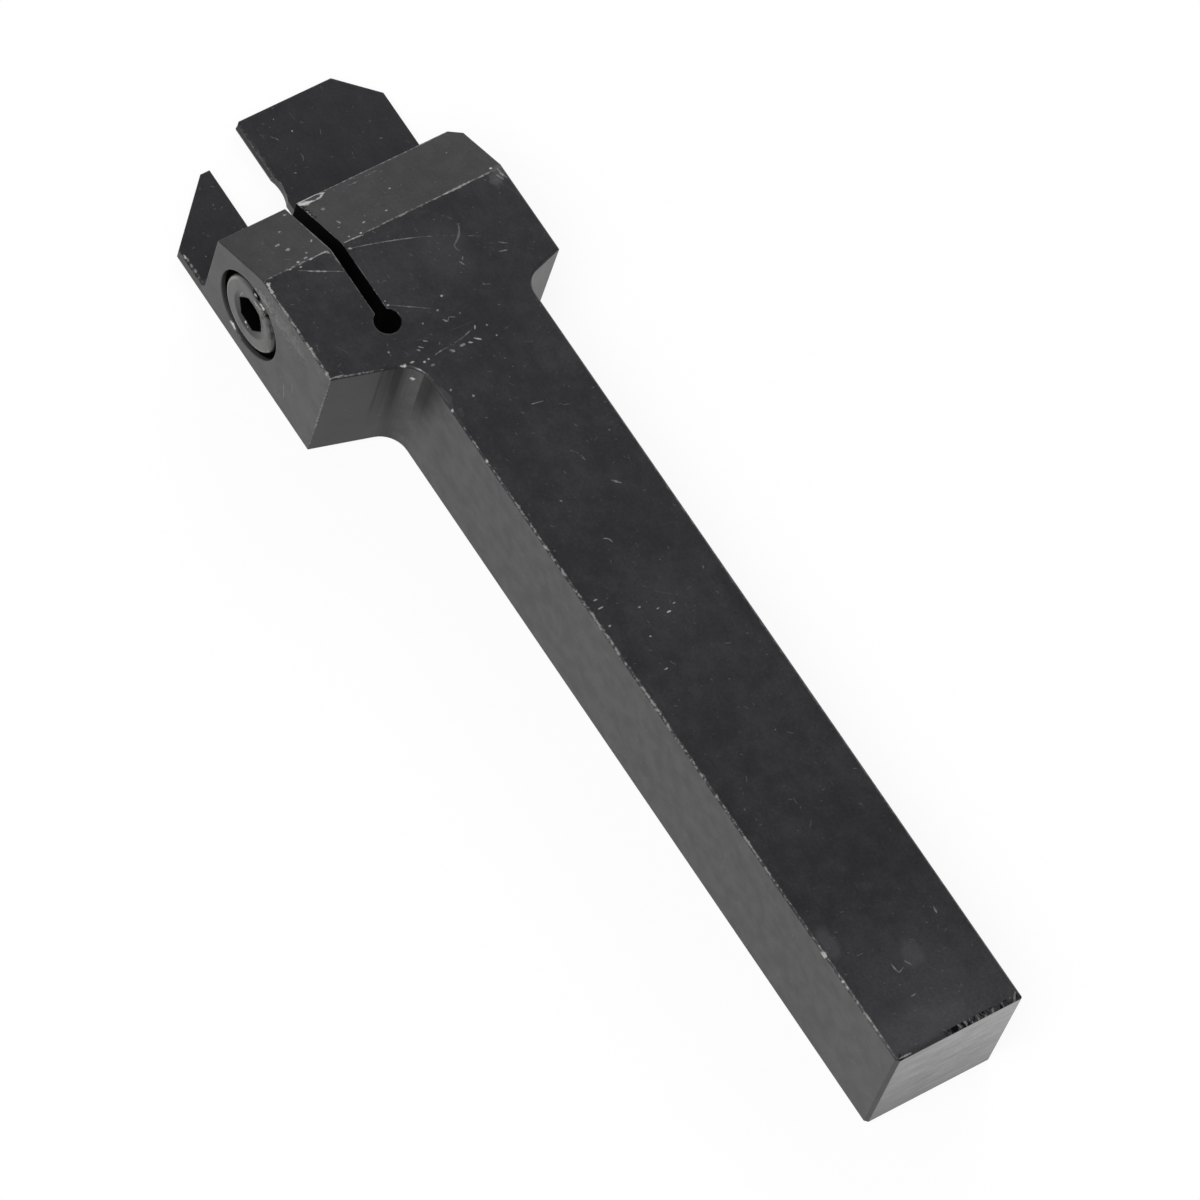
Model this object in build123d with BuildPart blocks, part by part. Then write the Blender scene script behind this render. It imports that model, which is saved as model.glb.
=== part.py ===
"""Grooving tool holder for a lathe: a square shank, a wider head split into two jaws by a
slit, a thin blade on the head's flat side that holds the insert, and one clamp screw.

X runs from the shank's end to the cutting end, +Y is up when the tool is in use, and Z is
the thickness. The holder lies on its flat side, with the origin in the middle under it.
"""

from build123d import *
from math import radians, tan
import os

# Shank and head, in mm
overall_length = 100.0  # shank end to the front of the blade
shank_size = 12.0  # square section
head_rise = 7.2  # head above the shank's upper face
head_drop = 4.0  # head below the shank's lower face
blade_reach = 12.0  # blade in front of the head
head_length = 18.25  # foot of the upper shoulder to the head's front
lower_head_length = 15.8  # foot of the lower shoulder to the head's front
shoulder_lean = 16.0  # degrees that the shoulders lean forward
upper_neck_radius = 2.4
lower_neck_radius = 1.8
bevel_run = 6.1  # sloped land along the head's front, measured along the shank
bevel_drop = 3.0  # and how far it falls
head_corner_flat = 0.9  # on the lower front corner of the head
edge_break = 0.15  # on the edges of both flat faces
end_skew = 0.2  # the shank's end is sawn this much out of square
end_toe_flat = 0.12  # on the lower corner of the shank's end
end_heel_flat = 0.28  # on its upper corner

# Blade, jaws and insert seat
blade_thickness = 1.1
blade_root_radius = 0.7  # where the blade runs into the head's front
blade_toe_flat = 3.2  # at 45 degrees, on the lower front corner
seat_toe_flat = 0.2  # on the seat's front corner
seat_below_shank_top = 3.5  # insert seat under the shank's upper face
clamp_above_shank_top = 0.9  # clamping edge of the upper jaw over that face
seat_ridge = 0.12  # height of the V ridge that the insert's groove sits on
seat_length = 5.6  # straight part of the seat, from the blade's front
seat_relief_length = 2.7  # shallow hollow behind the seat
seat_relief_depth = 0.2
seat_heel_rise = 0.15  # the jaw behind the hollow stands this much over the seat
insert_pocket_length = 14.0  # blade's front to the insert's stop
insert_pocket_depth = 1.7  # how deep the pocket goes into the head from its flat side
prong_set_back = 2.8  # upper jaw's tip behind the blade's front
prong_tip_width = 0.9
prong_slope_run = 4.9  # along the shank, from the tip to the upper jaw's outer corner
prong_corner_flat = 0.35

# Slit between the jaws
slit_width = 1.1
slit_above_shank_top = 0.2  # middle of the slit over the shank's upper face
slit_length = 13.8  # head's front to the middle of the relief hole
relief_hole_diameter = 2.3

# Clamp screw, M4 with a socket head
screw_diameter = 4.0
screw_length = 12.0  # under the head
screw_head_diameter = 7.0
screw_head_height = 4.0
screw_head_fillet = 0.35
screw_head_recess = 0.05  # head's top under the face of the jaw
screw_tip_chamfer = 0.6
socket_across_flats = 3.0
socket_depth = 2.4
socket_mouth_diameter = 4.3  # conical mouth of the socket
socket_mouth_depth = 0.15
socket_turn = 6.0  # degrees that a corner of the socket stands over the shank's line
screw_set_back = 5.6  # screw's axis behind the head's front
screw_height = 5.6  # screw's axis over the flat side
counterbore_diameter = 8.1
clearance_hole_diameter = 4.5  # through the upper jaw
thread_clearance = 0.05  # radial, between the plain thread cylinder and its hole
under_head_clearance = 0.02
hole_past_screw = 3.0  # drilled beyond the screw's tip
drill_point_angle = 118.0

# Places worked out from the sizes
shank_end = -overall_length / 2
blade_front = overall_length / 2
head_front = blade_front - blade_reach
head_top = (shank_size + head_rise + head_drop) / 2
shank_top = head_top - head_rise
shank_bottom = shank_top - shank_size
head_bottom = shank_bottom - head_drop
lean = tan(radians(shoulder_lean))
upper_neck_x = head_front - head_length
lower_neck_x = head_front - lower_head_length
seat_y = shank_top - seat_below_shank_top
clamp_y = shank_top + clamp_above_shank_top
slit_y = shank_top + slit_above_shank_top
relief_hole_x = head_front - slit_length
pocket_stop_x = blade_front - insert_pocket_length
prong_tip_x = blade_front - prong_set_back
prong_corner_x = prong_tip_x - prong_slope_run
jaw_root_x = head_front - head_corner_flat
seat_back_x = blade_front - seat_length
seat_heel_x = seat_back_x - seat_relief_length
seat_heel_y = seat_y + seat_heel_rise
screw_x = head_front - screw_set_back
screw_top = head_top - screw_head_recess
screw_seat = screw_top - screw_head_height
screw_tip = screw_seat - screw_length
counterbore_floor = screw_seat - under_head_clearance
hole_end = screw_tip - hole_past_screw

# Everything on the screw's axis is drawn in this plane and turned about it.
screw_plane = Plane(origin=(screw_x, 0, screw_height))
screw_axis = Axis((screw_x, 0, screw_height), (0, 1, 0))

with BuildPart() as holder_body:
    # Shank and head share one outline, milled through the thickness of the bar.
    with BuildSketch():
        with BuildLine():
            Polyline(
                (shank_end, shank_bottom + end_toe_flat),
                (shank_end + end_toe_flat, shank_bottom),
                (lower_neck_x, shank_bottom),
                (lower_neck_x + head_drop * lean, head_bottom),
                (head_front - head_corner_flat, head_bottom),
                (head_front, head_bottom + head_corner_flat),
                (head_front, head_top),
                (upper_neck_x + head_rise * lean, head_top),
                (upper_neck_x, shank_top),
                (shank_end + end_skew + end_heel_flat, shank_top),
                (shank_end + end_skew, shank_top - end_heel_flat),
                close=True,
            )
        make_face()
        fillet(vertices().sort_by_distance((upper_neck_x, shank_top))[0], upper_neck_radius)
        fillet(vertices().sort_by_distance((lower_neck_x, shank_bottom))[0], lower_neck_radius)
    extrude(amount=shank_size)

    # Lower jaw of the blade, flush with the underside of the head. Behind the straight seat
    # its edge has a shallow hollow.
    with BuildSketch():
        with BuildLine():
            Polyline(
                (seat_heel_x, seat_heel_y),
                (jaw_root_x, seat_heel_y),
                (jaw_root_x, head_bottom),
                (blade_front - blade_toe_flat, head_bottom),
                (blade_front, head_bottom + blade_toe_flat),
                (blade_front, seat_y - seat_toe_flat),
                (blade_front - seat_toe_flat, seat_y),
                (seat_back_x, seat_y),
            )
            ThreePointArc(
                (seat_back_x, seat_y),
                (seat_back_x - seat_relief_length / 2, seat_y - seat_relief_depth),
                (seat_heel_x, seat_heel_y),
            )
        make_face()
    extrude(amount=blade_thickness)

    # Upper jaw, a pointed prong that presses on the insert
    with BuildSketch():
        with BuildLine():
            Polyline(
                (jaw_root_x, clamp_y),
                (prong_tip_x, clamp_y),
                (prong_tip_x, clamp_y + prong_tip_width),
                (prong_corner_x, head_top - prong_corner_flat),
                (prong_corner_x - prong_corner_flat, head_top),
                (jaw_root_x, head_top),
                close=True,
            )
        make_face()
    extrude(amount=blade_thickness)

    # The blade runs into the head's front with a small radius.
    jaw_edges = edges().filter_by(Axis.Y).filter_by_position(
        Axis.Z, 0, 2 * blade_thickness, inclusive=(False, False)
    )
    fillet(jaw_edges.group_by(Axis.X)[0], blade_root_radius)

    # Both flat faces lose the sharp edge of their outline.
    chamfer(faces().sort_by(Axis.Z)[-1].outer_wire().edges(), edge_break)
    chamfer(faces().sort_by(Axis.Z)[0].outer_wire().edges(), edge_break)

    # Sloped land on the front of the head
    with BuildSketch(Plane.XZ):
        with BuildLine():
            Polyline(
                (head_front - bevel_run, shank_size),
                (head_front + bevel_run, shank_size),
                (head_front + bevel_run, shank_size - 2 * bevel_drop),
                close=True,
            )
        make_face()
    extrude(amount=head_top, both=True, mode=Mode.SUBTRACT)

    # V ridge on the seat
    with BuildSketch(Plane.YZ.offset(seat_back_x)):
        with BuildLine():
            Polyline(
                (seat_y, edge_break),
                (seat_y + seat_ridge, blade_thickness / 2),
                (seat_y, blade_thickness - edge_break),
                close=True,
            )
        make_face()
    extrude(amount=seat_length - seat_toe_flat)

    # V ridge on the upper jaw
    with BuildSketch(Plane.YZ.offset(head_front)):
        with BuildLine():
            Polyline(
                (clamp_y, edge_break),
                (clamp_y - seat_ridge, blade_thickness / 2),
                (clamp_y, blade_thickness - edge_break),
                close=True,
            )
        make_face()
    extrude(amount=prong_tip_x - head_front)

    # The insert's pocket goes on into the head's flat side as far as its stop.
    with BuildSketch():
        with Locations(((pocket_stop_x + head_front) / 2, (seat_heel_y + clamp_y) / 2)):
            Rectangle(head_front - pocket_stop_x, clamp_y - seat_heel_y)
    extrude(amount=insert_pocket_depth, mode=Mode.SUBTRACT)

    # Slit that lets the jaws close, ending in a round relief hole
    with BuildSketch():
        with Locations(((relief_hole_x + head_front) / 2, slit_y)):
            Rectangle(slit_length, slit_width)
        with Locations((relief_hole_x, slit_y)):
            Circle(relief_hole_diameter / 2)
    extrude(amount=shank_size, mode=Mode.SUBTRACT)

    # Counterbore, clearance hole and tapped hole of the clamp screw
    with BuildSketch(screw_plane):
        with BuildLine():
            Polyline(
                (0, head_top),
                (counterbore_diameter / 2, head_top),
                (counterbore_diameter / 2, counterbore_floor),
                (clearance_hole_diameter / 2, counterbore_floor),
                (clearance_hole_diameter / 2, slit_y),
                (screw_diameter / 2 + thread_clearance, slit_y),
                (screw_diameter / 2 + thread_clearance, hole_end),
                (0, hole_end - screw_diameter / 2 / tan(radians(drill_point_angle / 2))),
                close=True,
            )
        make_face()
    revolve(axis=screw_axis, mode=Mode.SUBTRACT)

with BuildPart() as clamp_screw:
    with BuildSketch(screw_plane):
        with BuildLine():
            Polyline(
                (0, screw_tip),
                (screw_diameter / 2 - screw_tip_chamfer, screw_tip),
                (screw_diameter / 2, screw_tip + screw_tip_chamfer),
                (screw_diameter / 2, screw_seat),
                (screw_head_diameter / 2, screw_seat),
                (screw_head_diameter / 2, screw_top),
                (socket_mouth_diameter / 2, screw_top),
                (socket_across_flats / 2, screw_top - socket_mouth_depth),
                (0, screw_top - socket_mouth_depth),
                close=True,
            )
        make_face()
        rim = vertices().sort_by_distance((screw_head_diameter / 2, screw_top))[0]
        fillet(rim, screw_head_fillet)
    revolve(axis=screw_axis)

    # Hexagon socket
    with BuildSketch(Plane.XZ.offset(-screw_top)):
        with Locations((screw_x, screw_height)):
            RegularPolygon(socket_across_flats / 2, 6, major_radius=False, rotation=socket_turn)
    extrude(amount=socket_depth, mode=Mode.SUBTRACT)

holder_body.part.label = "holder_body"
clamp_screw.part.label = "clamp_screw"
os.makedirs("parts", exist_ok=True)
export_step(holder_body.part, "parts/holder_body.step")
export_step(clamp_screw.part, "parts/clamp_screw.step")
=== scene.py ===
"""Looks for the grooving tool holder: black-oxide steel with its grinding marks, scratches and
worn edges, and the clamp screw with its real thread."""

import math

import bmesh
import bpy
from mathutils import Matrix, Vector


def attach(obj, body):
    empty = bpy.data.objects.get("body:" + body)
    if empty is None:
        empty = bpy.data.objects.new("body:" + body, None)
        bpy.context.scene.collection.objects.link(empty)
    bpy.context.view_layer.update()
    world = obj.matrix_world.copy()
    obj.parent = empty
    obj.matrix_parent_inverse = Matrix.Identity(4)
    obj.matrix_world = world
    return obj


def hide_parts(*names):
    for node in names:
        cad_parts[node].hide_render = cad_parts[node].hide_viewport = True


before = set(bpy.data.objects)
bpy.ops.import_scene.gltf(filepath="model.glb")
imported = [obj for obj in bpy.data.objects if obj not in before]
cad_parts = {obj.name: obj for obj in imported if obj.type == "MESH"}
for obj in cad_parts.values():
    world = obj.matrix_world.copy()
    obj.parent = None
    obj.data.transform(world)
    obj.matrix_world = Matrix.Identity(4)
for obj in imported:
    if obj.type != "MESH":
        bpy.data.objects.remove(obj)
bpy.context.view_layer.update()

MM = 0.001

# Lengths that the finishes and the screw refer to, in mm, in the holder's own frame
BAR_TOP = 12.0
BAR_SIDE = 12.0
BEVEL_BACK = 31.9
BEVEL_DROP_PER_MM = 3.0 / 6.1
SLIT_Y, SLIT_HALF_WIDTH = 4.6, 0.55
RELIEF_HOLE_X, RELIEF_HOLE_RADIUS = 24.2, 1.15
COUNTERBORE_RADIUS = 4.05
PAST_WALL = 0.002  # how far past a wall its mask starts to fade
NECK_ROUND_Y = 7.28  # where the upper neck's round starts under the head
SHANK_START_X = 18.78  # where that round ends and the shank's flat side starts
SAWN_X, SAWN_LEAN = -49.87, 0.0167  # the end at the middle, and how much it is askew
SCREW_X, SCREW_Z = 32.4, 5.6
SCREW_TIP = -4.45

# Defaults of the vector sockets
NOWHERE = (0.0, 0.0, 0.0)
UPWARD = (0.0, 0.0, 1.0)


def mm(*place):
    """A place in millimetres as metres."""
    return tuple(value * MM for value in place)


def mm_or(numbers, third):
    """Two or three numbers in millimetres as metres. The given third stands in where it is missing."""
    return mm(*numbers, third)[:3]


def colour(red, green, blue):
    """A colour with nothing see-through about it."""
    return (red, green, blue, 1.0)


# ---------------------------------------------------------------- node helpers

def feed(tree, socket, value):
    """Gives a socket a plain value, or links another socket to it."""
    if isinstance(value, bpy.types.NodeSocket):
        tree.links.new(value, socket)
    else:
        socket.default_value = value


def fill(tree, node, values):
    """Feeds a node's inputs by name, with _ for a space."""
    for label, value in values.items():
        feed(tree, node.inputs[label.replace("_", " ")], value)


def put(tree, kind, inputs=None, **settings):
    """Adds a node. inputs maps a socket's name or number to a value or to another socket."""
    node = tree.nodes.new(kind)
    for name, value in settings.items():
        setattr(node, name, value)
    for key, value in (inputs or {}).items():
        feed(tree, node.inputs[key], value)
    return node


def math_node(tree, operation, *values):
    """One Math node's result."""
    return put(tree, "ShaderNodeMath", dict(enumerate(values)), operation=operation).outputs[0]


def times(tree, *values):
    """Values multiplied together."""
    product = values[0]
    for value in values[1:]:
        product = math_node(tree, "MULTIPLY", product, value)
    return product


def times_plus(tree, value, factor, extra):
    """value times factor, plus extra."""
    return math_node(tree, "MULTIPLY_ADD", value, factor, extra)


def minus(tree, value, less):
    """The difference of two values."""
    return math_node(tree, "SUBTRACT", value, less)


def size_of(tree, value):
    """The value without its sign."""
    return math_node(tree, "ABSOLUTE", value)


def above(tree, value, limit):
    """1 above the limit, 0 below it."""
    return math_node(tree, "GREATER_THAN", value, limit)


def strongest(tree, *masks):
    """The strongest of several masks."""
    found = masks[0]
    for mask in masks[1:]:
        found = math_node(tree, "MAXIMUM", found, mask)
    return found


def kept_to_one(tree, value):
    """The value held between 0 and 1."""
    return strongest(tree, math_node(tree, "MINIMUM", value, 1.0), 0.0)


def vector_node(tree, operation, *values, out=0):
    """One Vector Math node's result."""
    names = (0, "Scale") if operation == "SCALE" else (0, 1)
    return put(tree, "ShaderNodeVectorMath", dict(zip(names, values)), operation=operation).outputs[out]


def length_of(tree, vector):
    """A vector's length."""
    return vector_node(tree, "LENGTH", vector, out=1)


def dot(tree, first, second):
    """The dot product of two vectors."""
    return vector_node(tree, "DOT_PRODUCT", first, second, out=1)


def split(tree, vector):
    """A vector's three parts."""
    return put(tree, "ShaderNodeSeparateXYZ", {0: vector}).outputs


def joined(tree, numbered):
    """A vector from its numbered parts. A part that is not given is 0."""
    return put(tree, "ShaderNodeCombineXYZ", numbered).outputs[0]


def noise(tree, vector, scale, detail, out=0, **more):
    """A noise texture's value, or its colour with out=1."""
    inputs = {"Vector": vector, "Scale": scale, "Detail": detail, **more}
    return put(tree, "ShaderNodeTexNoise", inputs).outputs[out]


def ramp_down(tree, value, near, far, first=1.0, last=0.0):
    """first below near, last above far, smooth between. The node's own clamp would change nothing
    and takes room that a finish with this many marks needs."""
    inputs = {"Value": value, "From Min": near, "From Max": far, "To Min": first, "To Max": last}
    return put(tree, "ShaderNodeMapRange", inputs, interpolation_type="SMOOTHSTEP", clamp=False).outputs[0]


def ramp_up(tree, value, low, high):
    """0 below low, 1 above high, smooth between."""
    return ramp_down(tree, value, low, high, 0.0, 1.0)


def close_to(tree, value, middle, near, far):
    """1 within near of the middle, 0 further from it than far."""
    return ramp_down(tree, size_of(tree, minus(tree, value, middle)), near, far)


def blend(tree, factor, first, second, how="MIX"):
    """Mixes two colours."""
    inputs = {0: factor, 6: first, 7: second}
    return put(tree, "ShaderNodeMix", inputs, data_type="RGBA", blend_type=how).outputs[2]


def tinted(tree, mask, share, tone, tint):
    """The tone with a share of a tint where the mask is."""
    return blend(tree, times(tree, mask, share), tone, tint)


def new_group(name, inputs, *outputs, kind="NodeSocketFloat"):
    """A shader node group. inputs maps a name to its default. Returns the tree, the sockets that
    bring the inputs in, in their order, and the node that takes the outputs."""
    tree = bpy.data.node_groups.new(name, "ShaderNodeTree")
    for label, default in inputs.items():
        brought = "NodeSocketVector" if isinstance(default, tuple) else "NodeSocketFloat"
        socket = tree.interface.new_socket(name=label, in_out="INPUT", socket_type=brought)
        socket.default_value = default
    for label in outputs:
        tree.interface.new_socket(name=label, in_out="OUTPUT", socket_type=kind)
    given, result = tree.nodes.new("NodeGroupInput"), tree.nodes.new("NodeGroupOutput")
    return tree, list(given.outputs)[:len(inputs)], result


def use(tree, group, **inputs):
    """Places a group and returns its outputs. Inputs are given by name with _ for a space."""
    node = tree.nodes.new("ShaderNodeGroup")
    node.node_tree = group
    fill(tree, node, inputs)
    return node.outputs


def within(tree, distance, wall, fade=3):
    """1 up to a wall and on it, 0 outside. The distance is in metres, the wall in mm."""
    return ramp_down(tree, distance, (wall + PAST_WALL) * MM, (wall + fade * PAST_WALL) * MM)


def from_screw_axis(tree, x, z):
    """The way from the screw's axis straight out to a point."""
    return vector_node(tree, "SUBTRACT", joined(tree, {0: x, 2: z}), mm(SCREW_X, 0.0, SCREW_Z))


# ---------------------------------------------------------------- shared effects

def make_lay_flat():
    """Lays a point of the bar out on the face that it belongs to, so that a flat pattern follows
    each milled face instead of smearing across it."""
    tree, (point, facing), result = new_group(
        "lay_flat", {"Point": NOWHERE, "Facing": UPWARD}, "Flat", kind="NodeSocketVector"
    )
    x, y, z = split(tree, point)
    _, facing_y, facing_z = split(tree, facing)
    up = above(tree, size_of(tree, facing_z), 0.7)
    side = above(tree, size_of(tree, facing_y), 0.7)
    on_top = joined(tree, {0: x, 1: y})
    on_side = joined(tree, {0: x, 1: z})
    on_end = joined(tree, {0: y, 1: z})
    upright = put(tree, "ShaderNodeMix", {0: side, 4: on_end, 5: on_side}, data_type="VECTOR").outputs[1]
    flat = put(tree, "ShaderNodeMix", {0: up, 4: upright, 5: on_top}, data_type="VECTOR").outputs[1]
    # Each face looks up a different part of the pattern
    which = math_node(tree, "ADD", times(tree, up, 0.31), times(tree, side, 0.17))
    fill(tree, result, {"Flat": vector_node(tree, "ADD", flat, joined(tree, {0: which, 1: which}))})
    return tree


def make_short_scratches():
    """Short straight scratches scattered over a face, each in its own cell at its own angle."""
    tree, (flat, per_metre, length, width, amount, turn, spread), result = new_group(
        "short_scratches",
        {"Flat": NOWHERE, "Per Metre": 300.0, "Length": 0.35, "Width": 0.03,
         "Amount": 0.3, "Turn": 0.0, "Spread": 6.28},
        "Mask",
    )
    spread_out = vector_node(tree, "SCALE", flat, per_metre)
    cell = put(tree, "ShaderNodeTexVoronoi", {"Vector": spread_out, "Scale": 1.0}, voronoi_dimensions="2D")
    chance = put(tree, "ShaderNodeSeparateColor", {0: cell.outputs["Color"]}).outputs
    local = vector_node(tree, "SUBTRACT", spread_out, cell.outputs["Position"])
    angle = times_plus(tree, minus(tree, chance[0], 0.5), spread, turn)
    turned = put(tree, "ShaderNodeVectorRotate", {"Vector": local, "Angle": angle}, rotation_type="Z_AXIS")
    along, across, _ = split(tree, turned.outputs[0])
    reach = times(tree, length, times_plus(tree, chance[1], 0.8, 0.2))
    ends = ramp_down(tree, size_of(tree, along), times(tree, reach, 0.4), reach)
    sides = ramp_down(tree, size_of(tree, across), times(tree, width, 0.3), width)
    there = math_node(tree, "LESS_THAN", chance[2], amount)
    strong = math_node(tree, "FRACT", times(tree, chance[1], 17.3))
    mask = times(tree, ends, sides, there)
    fill(tree, result, {"Mask": times(tree, mask, times_plus(tree, strong, 0.7, 0.3))})
    return tree


def make_specks():
    """Small ragged specks where the black has chipped off or dust has stuck."""
    tree, (point, per_metre, size, amount, ragged), result = new_group(
        "specks", {"Point": NOWHERE, "Per Metre": 900.0, "Size": 0.1, "Amount": 0.2, "Ragged": 0.2}, "Mask"
    )
    spread_out = vector_node(tree, "SCALE", point, per_metre)
    wobble = vector_node(tree, "SUBTRACT", noise(tree, spread_out, 3.1, 2.0, out=1), (0.5, 0.5, 0.5))
    bent = vector_node(tree, "ADD", spread_out, vector_node(tree, "SCALE", wobble, ragged))
    cell = put(tree, "ShaderNodeTexVoronoi", {"Vector": bent, "Scale": 1.0}, voronoi_dimensions="3D")
    chance = put(tree, "ShaderNodeSeparateColor", {0: cell.outputs["Color"]}).outputs
    own_size = times(tree, size, times_plus(tree, math_node(tree, "POWER", chance[1], 3.0), 1.4, 0.6))
    spot = ramp_down(tree, cell.outputs["Distance"], times(tree, own_size, 0.5), own_size)
    there = math_node(tree, "LESS_THAN", chance[2], amount)
    strong = times_plus(tree, chance[0], 0.7, 0.3)
    fill(tree, result, {"Mask": times(tree, spot, there, strong)})
    return tree


def make_drawn_scratch():
    """One scratch from Start to End, tapering and broken along its length by Grain. Bow lifts its
    middle."""
    tree, (point, start, end, bow, width, breaks, strength, grain, so_far), result = new_group(
        "drawn_scratch",
        {"Point": NOWHERE, "Start": NOWHERE, "End": mm(1.0, 0.0, 0.0), "Bow": NOWHERE,
         "Width": 0.0001, "Breaks": 0.5, "Strength": 0.5, "Grain": 0.5, "So Far": 0.0},
        "Mask",
    )
    run = vector_node(tree, "SUBTRACT", end, start)
    ahead = vector_node(tree, "SUBTRACT", point, start)
    share = kept_to_one(tree, math_node(tree, "DIVIDE", dot(tree, ahead, run), dot(tree, run, run)))
    middle = times(tree, share, minus(tree, 1.0, share), 4.0)
    bowed = vector_node(tree, "SCALE", bow, middle)
    on_line = vector_node(tree, "ADD", vector_node(tree, "SCALE", run, share), bowed)
    off = length_of(tree, vector_node(tree, "SUBTRACT", ahead, on_line))
    wide = times(tree, width, times_plus(tree, middle, 0.6, 0.4))
    rough_edge = times_plus(tree, grain, -2.0, 2.0)
    line = ramp_down(tree, times(tree, off, rough_edge), times(tree, wide, 0.2), wide)
    whole = minus(tree, 1.0, breaks)
    kept = times_plus(tree, ramp_up(tree, grain, 0.44, 0.6), breaks, whole)
    fill(tree, result, {"Mask": strongest(tree, times(tree, line, kept, strength), so_far)})
    return tree


def make_worn_spot():
    """A patch round one place, with its own stretch in each direction, made ragged by Grain."""
    tree, (point, centre, radii, ragged, strength, grain, so_far), result = new_group(
        "worn_spot",
        {"Point": NOWHERE, "Centre": NOWHERE, "Radii": mm(1.0, 1.0, 1.0),
         "Ragged": 0.5, "Strength": 0.8, "Grain": 0.5, "So Far": 0.0},
        "Mask",
    )
    away = vector_node(tree, "SUBTRACT", point, centre)
    off = length_of(tree, vector_node(tree, "DIVIDE", away, radii))
    push = times(tree, minus(tree, grain, 0.5), ragged)
    own = times(tree, ramp_down(tree, times_plus(tree, push, 4.0, off), 0.4, 1.0), strength)
    fill(tree, result, {"Mask": strongest(tree, own, so_far)})
    return tree


def make_edge_rub():
    """Where the black has rubbed off along edges. Round is the normal of the slightly rounded
    shape, Facing the face's own: they differ only near an edge."""
    tree, (point, rounded, facing, amount), result = new_group(
        "edge_rub", {"Point": NOWHERE, "Round": UPWARD, "Facing": UPWARD, "Amount": 0.5}, "Mask"
    )
    near = minus(tree, 1.0, dot(tree, rounded, facing))
    stretches = noise(tree, point, 130.0, 2.0)
    nicks = noise(tree, point, 2300.0, 3.0, Roughness=0.6)
    patchy = times(tree, ramp_up(tree, stretches, 0.38, 0.64), ramp_up(tree, nicks, 0.44, 0.62))
    fill(tree, result, {"Mask": times(tree, ramp_up(tree, near, 0.02, 0.16), patchy, amount)})
    return tree


def make_oxide_mottle():
    """The uneven black of oxide on milled steel: soft clouds, a fine grain and cutter lines."""
    tree, (point, flat, per_metre, lined), result = new_group(
        "oxide_mottle",
        {"Point": NOWHERE, "Flat": NOWHERE, "Clouds Per Metre": 110.0, "Lines": 0.3},
        "Clouds", "Grain", "Lines",
    )
    spread_out = vector_node(tree, "SCALE", point, per_metre)
    clouds = noise(tree, spread_out, 1.0, 4.0, Roughness=0.55, Distortion=0.3)
    grain = noise(tree, point, 5200.0, 2.0, Roughness=0.7)
    long_way = put(tree, "ShaderNodeMapping", {"Vector": flat, "Scale": (120.0, 3800.0, 1.0)}).outputs[0]
    lines = noise(tree, long_way, 1.0, 3.0, Roughness=0.6)
    lines = times(tree, minus(tree, lines, 0.5), lined)
    fill(tree, result, {"Clouds": clouds, "Grain": grain, "Lines": lines})
    return tree


def make_bore_shading():
    """Mask is 1 in the slit, its relief hole and down the screw's hole, whose walls get painted shade. Wall
    is 1 on the ring of the counterbore just below the face, which gets painted light."""
    tree, (point,), result = new_group("shaded_bores", {"Point": NOWHERE}, "Mask", "Wall")
    x, y, z = split(tree, point)
    slit = within(tree, size_of(tree, minus(tree, y, SLIT_Y * MM)), SLIT_HALF_WIDTH)
    slit = times(tree, slit, above(tree, x, RELIEF_HOLE_X * MM))
    from_hole = vector_node(tree, "SUBTRACT", joined(tree, {0: x, 1: y}), mm(RELIEF_HOLE_X, SLIT_Y, 0.0))
    hole = within(tree, length_of(tree, from_hole), RELIEF_HOLE_RADIUS)
    bore = within(tree, length_of(tree, from_screw_axis(tree, x, z)), COUNTERBORE_RADIUS, fade=5)
    bore = times(tree, bore, above(tree, y, -10.0 * MM))
    # Painted shade deep in the counterbore; painted light on its wall just below the face
    deep = ramp_down(tree, y, 11.16 * MM, 11.22 * MM)
    wall = times(tree, minus(tree, bore, deep), ramp_down(tree, y, 11.56 * MM, 11.59 * MM))
    wall = times(tree, kept_to_one(tree, wall), above(tree, y, 7.0 * MM))
    mask = strongest(tree, slit, hole, times(tree, bore, deep))
    fill(tree, result, {"Mask": mask, "Wall": wall})
    return tree


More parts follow.
